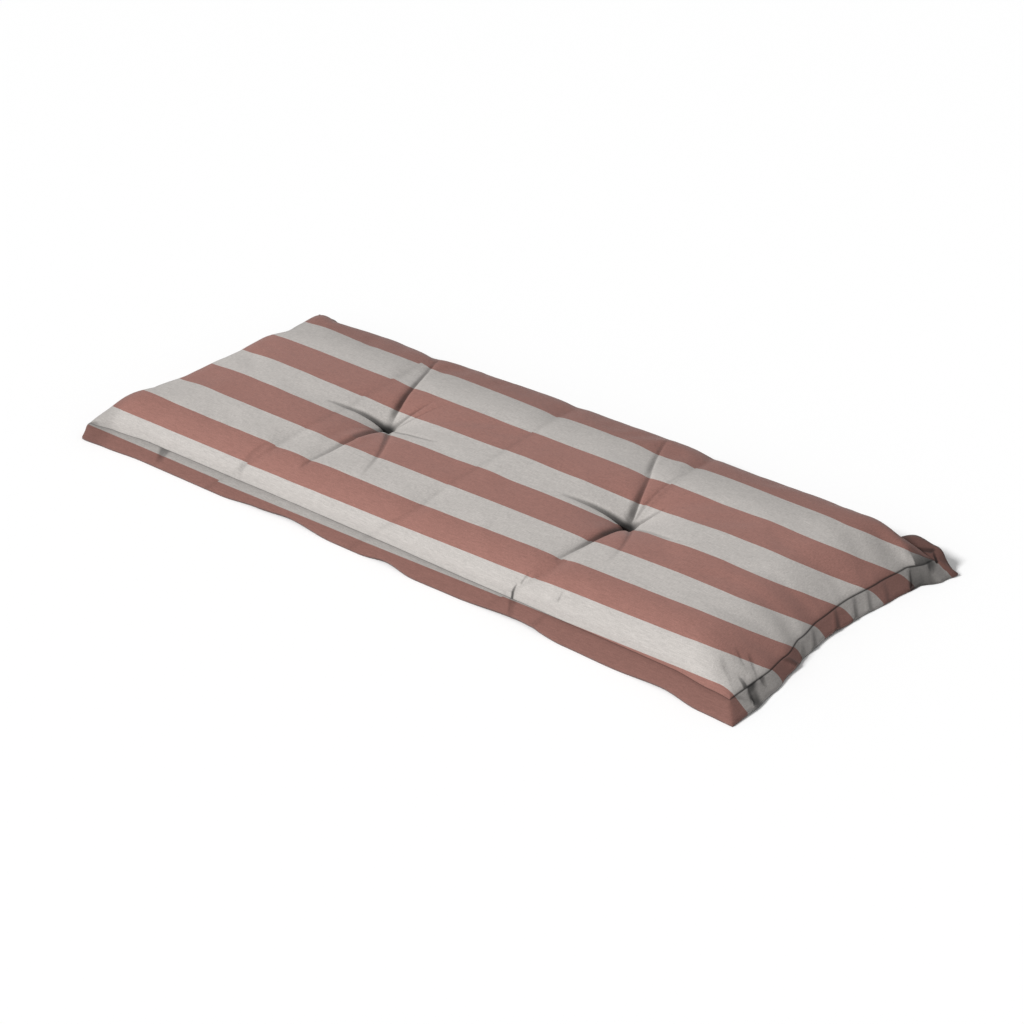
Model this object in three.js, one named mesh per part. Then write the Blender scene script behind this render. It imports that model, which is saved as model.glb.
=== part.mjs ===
// Bench cushion: one filled pad whose cover runs on over the seam as a flat flange all round.
// Two tufts pull the pad's faces together, and soft creases run out from them.
// Millimetres, +Z up. The cushion lies on z = 0 with its length along X, its front towards -Y,
// and its origin under the middle of its outline.

import * as THREE from "three";
import { mergeVertices } from "three/addons/utils/BufferGeometryUtils.js";

// Outer size and flange
const cushionLength = 1200;
const cushionDepth = 500;
const flangeWidth = 25;
const flangeThickness = 3.5;

// Pad, measured from the surface that it lies on
const seamHeight = 21;
const seamThickness = 4.5;
const rollHeight = 65;
const rollFullness = 2.4;
const crownRise = 9;
const crownReach = { x: 260, y: 220 };
const drawInReach = 230;

// How the pad's faces turn in to the seam on each side: reach is how far in the roll ends,
// and steep runs from 0, a slope that eases off, to 1, a full round edge
const rolls = {
  front: { reach: 58, steep: 0.75 },
  back: { reach: 46, steep: 1 },
  left: { reach: 64, steep: 0.25 },
  right: { reach: 96, steep: 0.1 },
  underside: { reach: 36, steep: 0.6 },
};

// Tufts: where the stitches go through, and how far they pull the two faces
const tufts = {
  left: { x: -193, y: 9 },
  right: { x: 228, y: 12 },
};
const tuftPull = 17;
const tuftPullReach = 12;
const tuftHollow = 13;
const tuftHollowReach = 52;
const undersidePull = 9;
const undersidePullReach = 22;
const undersideFlat = 0.1;

// Creases that run out from a tuft: where each ends, measured from the tuft, how far its middle
// bows to the left of the straight way, and how deep and wide its trough is
const creases = [
  { tuft: "left", endX: -70, endY: 178, bow: -4, deep: 8, wide: 13 },
  { tuft: "left", endX: -98, endY: -20, bow: -4, deep: 7, wide: 12 },
  { tuft: "left", endX: -4, endY: -190, bow: 12, deep: 6, wide: 15 },
  { tuft: "left", endX: 78, endY: -130, bow: 8, deep: 3.5, wide: 13 },
  { tuft: "left", endX: 105, endY: -17, bow: -6, deep: 3, wide: 12 },
  { tuft: "left", endX: 20, endY: 80, bow: 0, deep: 3, wide: 13 },
  { tuft: "right", endX: -86, endY: 184, bow: -8, deep: 7, wide: 14 },
  { tuft: "right", endX: -100, endY: -18, bow: 5, deep: 7, wide: 12 },
  { tuft: "right", endX: 8, endY: -165, bow: 10, deep: 6, wide: 14 },
  { tuft: "right", endX: 66, endY: -130, bow: 8, deep: 3, wide: 13 },
  { tuft: "right", endX: 115, endY: -28, bow: -5, deep: 3, wide: 13 },
  { tuft: "right", endX: 52, endY: 70, bow: 3, deep: 3.5, wide: 13 },
];
const creaseSteps = 12;
const creaseTaper = 0.9;

// Shallow folds right across the pad: where each meets the front and the back
const crossFolds = [
  { frontX: -292, backX: -284 },
  { frontX: -20, backX: -40 },
  { frontX: 226, backX: 200 },
];
const crossFoldDepth = 1.6;
const crossFoldWidth = 16;

// The four sides. at: place along the side. seamIn, edgeIn: how far the seam and the outer edge
// are drawn in from straight lines. edgeZ: height of the outer edge's underside.
const seamLine = { x: cushionLength / 2 - flangeWidth + 2, y: cushionDepth / 2 - flangeWidth + 3 };
const frontSide = [
  { at: -600, seamIn: 2, edgeIn: 19, edgeZ: 0 },
  { at: -570, seamIn: 2, edgeIn: 6, edgeZ: 0 },
  { at: -530, seamIn: 9, edgeIn: 9, edgeZ: 0 },
  { at: -460, seamIn: 16, edgeIn: 14, edgeZ: 0 },
  { at: -300, seamIn: 17, edgeIn: 14, edgeZ: 0 },
  { at: -235, seamIn: 18, edgeIn: 20, edgeZ: 2 },
  { at: -180, seamIn: 18, edgeIn: 25, edgeZ: 3 },
  { at: -90, seamIn: 18, edgeIn: 18, edgeZ: 0 },
  { at: -40, seamIn: 18, edgeIn: 18, edgeZ: 0 },
  { at: 2, seamIn: 18, edgeIn: 22, edgeZ: 3 },
  { at: 60, seamIn: 17, edgeIn: 15, edgeZ: 0 },
  { at: 130, seamIn: 16, edgeIn: 16, edgeZ: 0 },
  { at: 235, seamIn: 16, edgeIn: 21, edgeZ: 3 },
  { at: 320, seamIn: 13, edgeIn: 13, edgeZ: 0 },
  { at: 400, seamIn: 10, edgeIn: 11, edgeZ: 0 },
  { at: 475, seamIn: 9, edgeIn: 13, edgeZ: 2 },
  { at: 545, seamIn: 3, edgeIn: 3, edgeZ: 0 },
  { at: 600, seamIn: 0, edgeIn: 1, edgeZ: 0 },
];
const rightSide = [
  { at: -250, seamIn: 0, edgeIn: 1, edgeZ: 0 },
  { at: -200, seamIn: 1, edgeIn: 2, edgeZ: 2 },
  { at: -150, seamIn: 2, edgeIn: 9, edgeZ: 0 },
  { at: -100, seamIn: 8, edgeIn: 19, edgeZ: 2 },
  { at: -50, seamIn: 20, edgeIn: 30, edgeZ: 0 },
  { at: 0, seamIn: 28, edgeIn: 35, edgeZ: 2 },
  { at: 60, seamIn: 31, edgeIn: 33, edgeZ: 0 },
  { at: 130, seamIn: 25, edgeIn: 26, edgeZ: 0 },
  { at: 180, seamIn: 20, edgeIn: 20, edgeZ: 1 },
  { at: 210, seamIn: 6, edgeIn: 3, edgeZ: 0 },
  { at: 250, seamIn: 0, edgeIn: -4, edgeZ: 0 },
];
const backSide = [
  { at: -600, seamIn: 6, edgeIn: 2, edgeZ: 24 },
  { at: -545, seamIn: 9, edgeIn: 4, edgeZ: 22 },
  { at: -490, seamIn: 15, edgeIn: 16, edgeZ: 6 },
  { at: -380, seamIn: 7, edgeIn: 11, edgeZ: 0 },
  { at: -285, seamIn: 11, edgeIn: 15, edgeZ: 3 },
  { at: -200, seamIn: 4, edgeIn: 8, edgeZ: 0 },
  { at: -80, seamIn: -4, edgeIn: 1, edgeZ: 0 },
  { at: 150, seamIn: -7, edgeIn: -2, edgeZ: 0 },
  { at: 235, seamIn: -1, edgeIn: 3, edgeZ: 3 },
  { at: 400, seamIn: -5, edgeIn: -1, edgeZ: 0 },
  { at: 480, seamIn: -3, edgeIn: 0, edgeZ: 8 },
  { at: 530, seamIn: 1, edgeIn: -1, edgeZ: 28 },
  { at: 565, seamIn: 0, edgeIn: 2, edgeZ: 28 },
  { at: 600, seamIn: 0, edgeIn: 9, edgeZ: 3 },
];
const leftSide = [
  { at: -250, seamIn: 3, edgeIn: 19, edgeZ: 0 },
  { at: -175, seamIn: 2, edgeIn: 6, edgeZ: 0 },
  { at: -135, seamIn: 10, edgeIn: 14, edgeZ: 2 },
  { at: -75, seamIn: 17, edgeIn: 19, edgeZ: 0 },
  { at: 30, seamIn: 17, edgeIn: 19, edgeZ: 2 },
  { at: 90, seamIn: 15, edgeIn: 18, edgeZ: 0 },
  { at: 142, seamIn: 26, edgeIn: 26, edgeZ: 2 },
  { at: 180, seamIn: 22, edgeIn: 26, edgeZ: 6 },
  { at: 250, seamIn: 8, edgeIn: 26, edgeZ: 24 },
];

// Grid lines: each row says where a stretch ends and how many steps it has.
// The round stretches follow the edge roll, closer together by the seam.
const lengthwiseLines = [
  { to: -575, steps: 2 },
  { to: -535, steps: 4, round: "rising" },
  { to: -298, steps: 8 },
  { to: -193, steps: 8 },
  { to: -110, steps: 6 },
  { to: 128, steps: 9 },
  { to: 228, steps: 8 },
  { to: 318, steps: 6 },
  { to: 535, steps: 7 },
  { to: 575, steps: 4, round: "falling" },
  { to: 600, steps: 2 },
];
const crosswiseLines = [
  { to: -225, steps: 2 },
  { to: -185, steps: 4, round: "rising" },
  { to: -72, steps: 6 },
  { to: 10, steps: 6 },
  { to: 90, steps: 6 },
  { to: 185, steps: 5 },
  { to: 225, steps: 4, round: "falling" },
  { to: 250, steps: 2 },
];

function smooth(share) {
  const t = THREE.MathUtils.clamp(share, 0, 1);
  return t * t * (3 - 2 * t);
}

function gridLines(start, rows) {
  const lines = [start];
  for (const row of rows) {
    const from = lines[lines.length - 1];
    for (let step = 1; step <= row.steps; step += 1) {
      let share = step / row.steps;
      if (row.round === "rising") share = 1 - Math.cos((share * Math.PI) / 2);
      if (row.round === "falling") share = Math.sin((share * Math.PI) / 2);
      lines.push(THREE.MathUtils.lerp(from, row.to, share));
    }
  }
  return lines;
}

// A column of a side's table, eased from row to row
function readSide(side, column, at) {
  let next = side.findIndex((row) => row.at > at);
  if (next < 0) next = side.length - 1;
  const after = side[Math.max(next, 1)];
  const before = side[Math.max(next, 1) - 1];
  const share = smooth((at - before.at) / (after.at - before.at));
  return THREE.MathUtils.lerp(before[column], after[column], share);
}

// How far a flat place lies beyond the seam: 0 on the pad, 1 on the outer edge
function flangeShare(flat, half) {
  return Math.max(0, (Math.abs(flat) - (half - flangeWidth)) / flangeWidth);
}

// Where a place on the flat cover comes to lie when the sides are drawn in
function drawnIn(flat, along, half, seamHalf, side) {
  const seam = seamHalf - readSide(side, "seamIn", along);
  const edge = half - readSide(side, "edgeIn", along);
  const beyond = flangeShare(flat, half);
  if (beyond > 0) return Math.sign(flat) * THREE.MathUtils.lerp(seam, edge, beyond);
  const flatSeam = half - flangeWidth;
  const pull = smooth((Math.abs(flat) - (flatSeam - drawInReach)) / drawInReach);
  return flat + Math.sign(flat) * (seam - flatSeam) * pull;
}

function planPlace(flatX, flatY) {
  const endSide = flatX < 0 ? leftSide : rightSide;
  const longSide = flatY < 0 ? frontSide : backSide;
  return {
    x: drawnIn(flatX, flatY, cushionLength / 2, seamLine.x, endSide),
    y: drawnIn(flatY, flatX, cushionDepth / 2, seamLine.y, longSide),
  };
}

// The rise of an edge roll over the seam, from 0 at the seam to 1 at its crest
function rollShare(inward, roll) {
  const rest = 1 - THREE.MathUtils.clamp(inward / roll.reach, 0, 1);
  const easy = 1 - rest ** 2;
  const round = (1 - rest ** rollFullness) ** (1 / rollFullness);
  return THREE.MathUtils.lerp(easy, round, roll.steep);
}

const creasePaths = creases.map((crease) => {
  const tuft = tufts[crease.tuft];
  const start = new THREE.Vector2(tuft.x, tuft.y);
  const end = new THREE.Vector2(tuft.x + crease.endX, tuft.y + crease.endY);
  const run = end.clone().sub(start);
  const leftward = new THREE.Vector2(-run.y, run.x).normalize();
  const middle = start.clone().lerp(end, 0.5).addScaledVector(leftward, 2 * crease.bow);
  const curve = new THREE.QuadraticBezierCurve(start, middle, end);
  return { ...crease, points: curve.getPoints(creaseSteps) };
});

function creaseDepth(place) {
  let depth = 0;
  for (const crease of creasePaths) {
    crease.points.forEach((point, step) => {
      const left = (1 - step / creaseSteps) ** creaseTaper;
      const aside = Math.hypot(place.x - point.x, place.y - point.y) / crease.wide;
      depth = Math.max(depth, crease.deep * left * Math.exp(-aside * aside));
    });
  }
  return depth;
}

function crossFoldDip(place) {
  let dip = 0;
  for (const fold of crossFolds) {
    const foldX = THREE.MathUtils.mapLinear(place.y, -seamLine.y, seamLine.y, fold.frontX, fold.backX);
    const aside = (place.x - foldX) / crossFoldWidth;
    dip += crossFoldDepth * Math.exp(-aside * aside);
  }
  return dip;
}

function tuftDip(place) {
  let dip = 0;
  for (const tuft of Object.values(tufts)) {
    const away = Math.hypot(place.x - tuft.x, place.y - tuft.y);
    dip += tuftPull * Math.exp(-away / tuftPullReach);
    dip += tuftHollow * Math.exp(-((away / tuftHollowReach) ** 2));
  }
  return dip;
}

function flangeHeight(flatX, flatY) {
  const beyondX = flangeShare(flatX, cushionLength / 2);
  const beyondY = flangeShare(flatY, cushionDepth / 2);
  const endEdge = readSide(flatX < 0 ? leftSide : rightSide, "edgeZ", flatY);
  const longEdge = readSide(flatY < 0 ? frontSide : backSide, "edgeZ", flatX);
  const edge = (beyondX * endEdge + beyondY * longEdge) / (beyondX + beyondY) + flangeThickness;
  return THREE.MathUtils.lerp(seamHeight, edge, Math.max(beyondX, beyondY));
}

// How far a flat place lies inside the seam, less than 0 on the flange
function insideSeam(flatX, flatY) {
  return {
    x: cushionLength / 2 - flangeWidth - Math.abs(flatX),
    y: cushionDepth / 2 - flangeWidth - Math.abs(flatY),
  };
}

function topHeight(flatX, flatY, place) {
  const inside = insideSeam(flatX, flatY);
  if (inside.x < 0 || inside.y < 0) return flangeHeight(flatX, flatY);
  const endRoll = rollShare(inside.x, flatX < 0 ? rolls.left : rolls.right);
  const longRoll = rollShare(inside.y, flatY < 0 ? rolls.front : rolls.back);
  const crown = crownRise * smooth(inside.x / crownReach.x) * smooth(inside.y / crownReach.y);
  const dips = tuftDip(place) + creaseDepth(place) + crossFoldDip(place);
  return seamHeight + (rollHeight - seamHeight + crown - dips) * endRoll * longRoll;
}

function undersideLift(place) {
  let lift = 0;
  for (const tuft of Object.values(tufts)) {
    const away = Math.hypot(place.x - tuft.x, place.y - tuft.y) / undersidePullReach;
    lift += undersidePull * Math.exp(-away * away);
  }
  return lift > undersideFlat ? lift : 0;
}

function undersideHeight(flatX, flatY, place) {
  const inside = insideSeam(flatX, flatY);
  if (inside.x < 0 || inside.y < 0) {
    const beyond = Math.max(-inside.x, -inside.y) / flangeWidth;
    const thickness = THREE.MathUtils.lerp(seamThickness, flangeThickness, beyond);
    return flangeHeight(flatX, flatY) - thickness;
  }
  const roll = rollShare(inside.x, rolls.underside) * rollShare(inside.y, rolls.underside);
  return (seamHeight - seamThickness) * (1 - roll) + undersideLift(place);
}

function makeCushionGeometry() {
  const linesX = gridLines(-cushionLength / 2, lengthwiseLines);
  const linesY = gridLines(-cushionDepth / 2, crosswiseLines);
  const stepsX = linesX.length - 1;
  const stepsY = linesY.length - 1;
  const box = new THREE.BoxGeometry(stepsX, stepsY, 1, stepsX, stepsY, 1);
  box.deleteAttribute("normal");
  box.deleteAttribute("uv");
  const geometry = mergeVertices(box);
  const position = geometry.getAttribute("position");
  for (let i = 0; i < position.count; i += 1) {
    const flatX = linesX[Math.round(position.getX(i) + stepsX / 2)];
    const flatY = linesY[Math.round(position.getY(i) + stepsY / 2)];
    const place = planPlace(flatX, flatY);
    const height = position.getZ(i) > 0 ? topHeight : undersideHeight;
    position.setXYZ(i, place.x, place.y, height(flatX, flatY, place));
  }
  geometry.computeBoundingBox();
  const middle = geometry.boundingBox.getCenter(new THREE.Vector3());
  geometry.translate(-middle.x, -middle.y, 0);
  geometry.computeVertexNormals();
  return geometry;
}

const canvas = new THREE.MeshStandardMaterial({ color: 0xb0968f, roughness: 0.9, metalness: 0 });

const cushion = new THREE.Mesh(makeCushionGeometry(), canvas);
cushion.name = "cushion";

const benchCushion = new THREE.Group();
benchCushion.add(cushion);

export default benchCushion;
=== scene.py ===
# Bench cushion: a striped canvas cover over a soft filling, tufted twice, with a flat flange
# stitched all round. Metres, +Z up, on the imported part's own place and size.

import math

import bpy
import numpy as np
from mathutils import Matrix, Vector


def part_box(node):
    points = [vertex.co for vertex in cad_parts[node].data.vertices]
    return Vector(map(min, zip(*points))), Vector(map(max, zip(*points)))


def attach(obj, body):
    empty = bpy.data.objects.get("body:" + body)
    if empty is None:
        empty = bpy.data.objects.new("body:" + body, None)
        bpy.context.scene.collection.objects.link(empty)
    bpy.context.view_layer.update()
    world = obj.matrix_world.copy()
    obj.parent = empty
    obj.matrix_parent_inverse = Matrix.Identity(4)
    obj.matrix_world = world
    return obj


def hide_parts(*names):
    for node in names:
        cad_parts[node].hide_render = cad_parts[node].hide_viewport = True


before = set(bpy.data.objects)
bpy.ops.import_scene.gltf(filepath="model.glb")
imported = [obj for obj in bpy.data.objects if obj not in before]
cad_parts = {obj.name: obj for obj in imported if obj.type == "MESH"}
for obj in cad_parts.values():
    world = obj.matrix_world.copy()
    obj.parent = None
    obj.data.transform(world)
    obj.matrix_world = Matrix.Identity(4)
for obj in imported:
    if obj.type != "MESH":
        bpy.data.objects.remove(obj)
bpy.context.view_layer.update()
print("frame loaded")

hair = 1e-6  # metres: what is nearer than this is in the same place
nearZero = 1e-9  # keeps a sum that is divided by above 0

# The pad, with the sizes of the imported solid
pad = {
    "length": 1.2,
    "depth": 0.5,
    "flangeWidth": 0.025,
    "flangeThickness": 0.0035,
    "seamHeight": 0.021,
    "seamThickness": 0.0045,
    "rollHeight": 0.065,
    "rollFullness": 2.4,
    "crownRise": 0.009,
    "crownReachX": 0.26,
    "crownReachY": 0.22,
    "drawInReach": 0.23,
    "seamX": 0.577,  # the seam's straight lines, before the sides are drawn in
    "seamY": 0.228,
    "gridStep": 0.025 / 3,
}

# How each side turns in to the seam: how far in the roll ends, and from 0, an easy slope,
# to 1, a full round edge
rolls = {
    "front": (0.058, 0.75),
    "back": (0.046, 1),
    "left": (0.064, 0.25),
    "right": (0.096, 0.1),
    "underside": (0.036, 0.6),
}

# The four sides. Columns: place along the side, how far the seam is drawn in, how far the
# outer edge is drawn in, height of the outer edge
sideColumns = ("at", "seamIn", "edgeIn", "edgeHeight")
sides = {
    "front": [
        (-0.600, 0.002, 0.019, 0.000),
        (-0.570, 0.002, 0.006, 0.000),
        (-0.530, 0.009, 0.009, 0.000),
        (-0.460, 0.016, 0.014, 0.000),
        (-0.300, 0.017, 0.014, 0.000),
        (-0.235, 0.018, 0.020, 0.002),
        (-0.180, 0.018, 0.025, 0.003),
        (-0.090, 0.018, 0.018, 0.000),
        (-0.040, 0.018, 0.018, 0.000),
        (0.002, 0.018, 0.022, 0.003),
        (0.060, 0.017, 0.015, 0.000),
        (0.130, 0.016, 0.016, 0.000),
        (0.235, 0.016, 0.021, 0.003),
        (0.320, 0.015, 0.013, 0.000),
        (0.400, 0.015, 0.011, 0.000),
        (0.475, 0.014, 0.013, 0.002),
        (0.545, 0.006, 0.003, 0.000),
        (0.600, 0.000, 0.001, 0.000),
    ],
    "right": [
        (-0.250, 0.000, 0.001, 0.000),
        (-0.200, 0.001, 0.002, 0.002),
        (-0.150, 0.002, 0.009, 0.000),
        (-0.100, 0.008, 0.019, 0.002),
        (-0.050, 0.020, 0.030, 0.000),
        (0.000, 0.028, 0.035, 0.002),
        (0.060, 0.031, 0.033, 0.000),
        (0.130, 0.025, 0.026, 0.000),
        (0.180, 0.020, 0.020, 0.001),
        (0.210, 0.006, 0.003, 0.000),
        (0.250, 0.000, -0.004, 0.000),
    ],
    "back": [
        (-0.600, 0.006, 0.005, 0.008),
        (-0.576, 0.008, 0.003, 0.021),
        (-0.545, 0.009, 0.004, 0.022),
        (-0.490, 0.015, 0.016, 0.006),
        (-0.380, 0.007, 0.011, 0.000),
        (-0.285, 0.011, 0.015, 0.003),
        (-0.200, 0.004, 0.008, 0.000),
        (-0.080, -0.004, 0.001, 0.000),
        (0.150, -0.007, -0.002, 0.000),
        (0.235, -0.001, 0.003, 0.003),
        (0.400, -0.005, -0.001, 0.000),
        (0.480, -0.003, 0.000, 0.008),
        (0.530, 0.001, -0.001, 0.028),
        (0.565, 0.000, 0.005, 0.027),
        (0.600, 0.000, 0.009, 0.003),
    ],
    "left": [
        (-0.250, 0.003, 0.019, 0.000),
        (-0.175, 0.002, 0.006, 0.000),
        (-0.135, 0.010, 0.014, 0.002),
        (-0.075, 0.017, 0.019, 0.000),
        (0.030, 0.017, 0.019, 0.002),
        (0.090, 0.015, 0.018, 0.000),
        (0.142, 0.026, 0.026, 0.002),
        (0.180, 0.022, 0.026, 0.006),
        (0.250, 0.008, 0.026, 0.008),
    ],
}

# Tufts: where the stitches go through, how far they pull the faces, and how wide
tufts = {
    "places": {"left": (-0.192, -0.005), "right": (0.242, -0.005)},
    "pull": 0.020,
    "pullReach": 0.011,
    "hollow": 0.017,
    "hollowReach": 0.052,
    "undersidePull": 0.009,
    "undersideReach": 0.022,
    "undersideFlat": 0.0001,
}

# Creases and puckers. Columns: start, end and bow to the left, as one looks along it; depth (a
# ridge where it is less than 0) and the width of its bank on the left and on the right; how dark
# the painted shade in it is, and how far that painted shade reaches to the left and to the right;
# and the share of its length over which it begins. Those of a tuft are measured from the tuft.
creaseColumns = (
    "start", "end", "bow", "deep", "left", "right", "dark", "darkLeft", "darkRight", "lead"
)
tuftCreases = {
    "left": [
        ((-0.002, 0.003), (-0.084, 0.209), 0.000, 0.0080, 0.014, 0.005, 0.80, 0.012, 0.0015, 0.25),
        ((-0.002, 0.001), (-0.100, -0.022), -0.002, 0.0100, 0.008, 0.012, 0.97, 0.005, 0.011, 0.0),
        ((0.001, -0.003), (-0.002, -0.181), 0.006, 0.0060, 0.006, 0.016, 0.62, 0.002, 0.016, 0.0),
        ((0.004, -0.006), (0.088, -0.151), 0.011, 0.0035, 0.008, 0.009, 0.50, 0.006, 0.009, 0.0),
        ((0.006, -0.006), (0.110, -0.017), -0.009, 0.0035, 0.010, 0.003, 0.68, 0.005, 0.0018, 0.3),
        ((0.000, 0.004), (0.016, 0.077), -0.002, 0.0045, 0.010, 0.005, 0.42, 0.007, 0.003, 0.0),
        ((0.004, 0.004), (0.036, 0.079), -0.004, 0.0025, 0.008, 0.004, 0.26, 0.005, 0.002, 0.2),
        ((0.000, -0.010), (-0.024, -0.053), 0.003, 0.0025, 0.006, 0.006, 0.36, 0.003, 0.003, 0.3),
    ],
    "right": [
        ((-0.002, 0.003), (-0.062, 0.132), -0.003, 0.0075, 0.015, 0.005, 0.70, 0.014, 0.0015, 0.15),
        ((-0.036, 0.086), (-0.100, 0.216), 0.005, 0.0055, 0.013, 0.005, 0.52, 0.012, 0.0015, 0.4),
        ((-0.002, 0.001), (-0.100, -0.022), 0.000, 0.0100, 0.009, 0.012, 0.97, 0.005, 0.011, 0.0),
        ((0.001, -0.003), (0.000, -0.154), 0.005, 0.0080, 0.006, 0.016, 0.93, 0.003, 0.014, 0.0),
        ((0.004, -0.006), (0.060, -0.124), 0.011, 0.0030, 0.008, 0.009, 0.36, 0.006, 0.006, 0.0),
        ((0.006, -0.006), (0.110, -0.024), -0.006, 0.0040, 0.012, 0.004, 0.40, 0.007, 0.0015, 0.2),
        ((0.002, 0.004), (0.024, 0.050), -0.003, 0.0045, 0.010, 0.004, 0.50, 0.009, 0.002, 0.0),
        ((0.000, 0.008), (-0.012, 0.152), 0.004, 0.0020, 0.008, 0.006, 0.24, 0.006, 0.002, 0.1),
    ],
}

# The same columns, for folds measured from the middle of the pad
padFolds = [
    ((0.535, -0.162), (0.569, -0.178), 0, 0.0030, 0.006, 0.004, 0.30, 0.004, 0.003, 0.4),
    ((0.548, -0.152), (0.580, -0.172), 0, 0.0035, 0.005, 0.004, 0.46, 0.005, 0.003, 0.3),
    ((0.532, -0.188), (0.574, -0.214), 0, 0.0030, 0.008, 0.006, 0.30, 0.007, 0.005, 0.4),
    ((0.576, -0.192), (0.563, -0.191), 0, 0.0060, 0.009, 0.007, 0.80, 0.006, 0.006, 0.0),
    ((0.572, 0.196), (0.543, 0.207), 0, 0.0080, 0.004, 0.016, 0.93, 0.002, 0.034, 0.0),
    ((0.580, 0.222), (0.550, 0.203), 0, 0.0040, 0.008, 0.008, 0.90, 0.012, 0.014, 0.0),
    ((0.562, 0.188), (0.528, 0.208), 0, -0.0045, 0.008, 0.008, 0.00, 0.002, 0.002, 0.0),
    ((0.213, -0.212), (0.216, -0.206), 0, 0.0040, 0.005, 0.005, 0.85, 0.0030, 0.0030, 0.0),
    ((0.221, -0.205), (0.228, -0.187), 0, 0.0015, 0.005, 0.005, 0.40, 0.0025, 0.0025, 0.1),
    ((0.285, -0.208), (0.286, -0.197), 0, 0.0015, 0.005, 0.005, 0.30, 0.0030, 0.0030, 0.1),
    ((-0.574, -0.227), (-0.556, -0.224), 0, 0.0020, 0.004, 0.004, 0.60, 0.002, 0.002, 0.0),
    ((-0.286, -0.205), (-0.270, -0.150), 0, 0.0015, 0.010, 0.010, 0.16, 0.008, 0.008, 0.0),
]
flangeFolds = [
    ((0.571, 0.051), (0.540, 0.086), 0, -0.0035, 0.005, 0.008, 0.50, 0.007, 0.011, 0.0),
    ((0.575, 0.080), (0.540, 0.114), 0, -0.0030, 0.005, 0.008, 0.42, 0.006, 0.011, 0.0),
    ((0.572, 0.120), (0.552, 0.140), 0, -0.0020, 0.006, 0.006, 0.22, 0.008, 0.010, 0.0),
    ((0.573, 0.010), (0.544, 0.040), 0, -0.0040, 0.005, 0.009, 0.62, 0.006, 0.011, 0.0),
    ((0.575, -0.044), (0.553, -0.020), 0, -0.0040, 0.005, 0.009, 0.58, 0.006, 0.011, 0.0),
    ((0.578, -0.072), (0.560, -0.050), 0, -0.0030, 0.005, 0.007, 0.45, 0.006, 0.009, 0.0),
    ((0.581, -0.084), (0.562, -0.124), 0, -0.0035, 0.006, 0.007, 0.50, 0.004, 0.006, 0.0),
    ((0.576, -0.160), (0.586, -0.162), 0, 0.0030, 0.007, 0.007, 0.60, 0.008, 0.006, 0.0),
    ((0.588, 0.158), (0.551, 0.203), 0, 0.0080, 0.004, 0.014, 0.96, 0.004, 0.044, 0.0),
    ((0.592, 0.184), (0.566, 0.210), 0, 0.0020, 0.010, 0.010, 0.84, 0.024, 0.032, 0.0),
    ((0.574, 0.218), (0.588, 0.202), 0, 0.0035, 0.006, 0.006, 0.70, 0.010, 0.008, 0.0),
    ((0.577, 0.229), (0.563, 0.239), 0, 0.0050, 0.004, 0.004, 0.97, 0.003, 0.003, 0.0),
    ((0.563, 0.237), (0.524, 0.229), 0, 0.0025, 0.006, 0.006, 0.66, 0.004, 0.006, 0.0),
    ((0.570, -0.180), (0.594, -0.203), 0, 0.0070, 0.013, 0.006, 0.92, 0.016, 0.005, 0.0),
    ((0.588, -0.194), (0.570, -0.177), 0, 0.0050, 0.006, 0.013, 0.84, 0.005, 0.018, 0.0),
    ((0.568, -0.226), (0.592, -0.198), 0, 0.0030, 0.010, 0.008, 0.34, 0.007, 0.005, 0.3),
    ((-0.432, -0.209), (-0.430, -0.232), 0, 0.0040, 0.012, 0.012, 0.62, 0.016, 0.016, 0.0),
    ((0.213, -0.211), (0.226, -0.236), 0, 0.0020, 0.012, 0.008, 0.34, 0.012, 0.006, 0.0),
    ((0.262, -0.236), (0.276, -0.212), 0, -0.0020, 0.010, 0.008, 0.16, 0.008, 0.006, 0.0),
]

# The form that all of them share
creaseShape = {
    "steps": 24,
    "taper": 0.9,
    "bankPower": 1.6,  # above 1 for a sharp bottom and banks that ease out
    # the painted shade along each crease: how it fades along it, how it narrows and how crisp its
    # edge is
    "darkTaper": 0.6,
    "darkNarrows": 0.6,  # how much of the dark's width is gone at the far end
    "darkCrisp": 1.5,  # above 1 for a dark line with a clear edge
    "flangeEase": 0.006,  # a flange's folds begin over this width from the seam
}

# Two rounds of finer mesh on the side that shows: where a fold is deeper than this, its painted
# shade darker than this, and a cross fold or the seam nearer than this
fineRounds = [
    {"deep": 0.0004, "dark": 0.02, "crossFold": 0.004, "seam": 0.006},
    {"deep": math.inf, "dark": 0.22, "crossFold": 0.0015, "seam": 0.0025},
]

seamGroove = {"depth": 0.0015, "width": 0.0025}

# Shallow folds right across: where each meets the front and the back, on the stripes' level plane
crossFolds = {
    "places": [(-0.268, -0.2945), (-0.001, -0.033), (0.241, 0.209)],
    "depth": 0.0016,
    "width": 0.016,
}


def smooth(share):
    t = np.clip(share, 0, 1)
    return t * t * (3 - 2 * t)


def blend(a, b, share):
    return a + (b - a) * share


def easedColumn(rows, column, at):  # a column's value at each place, eased from row to row
    places = np.array([row[0] for row in rows])
    values = np.array([row[column] for row in rows])
    after = np.clip(np.searchsorted(places, at, side="right"), 1, len(rows) - 1)
    before = after - 1
    share = smooth((at - places[before]) / (places[after] - places[before]))
    return blend(values[before], values[after], share)


def sideValues(name, flatX, flatY):  # the end's and the long side's values at each place
    column = sideColumns.index(name)
    end = np.where(
        flatX < 0,
        easedColumn(sides["left"], column, flatY),
        easedColumn(sides["right"], column, flatY),
    )
    long = np.where(
        flatY < 0,
        easedColumn(sides["front"], column, flatX),
        easedColumn(sides["back"], column, flatX),
    )
    return end, long


def flatSeam(size):  # how far the seam is from the middle of the flat cover
    return size / 2 - pad["flangeWidth"]


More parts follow.
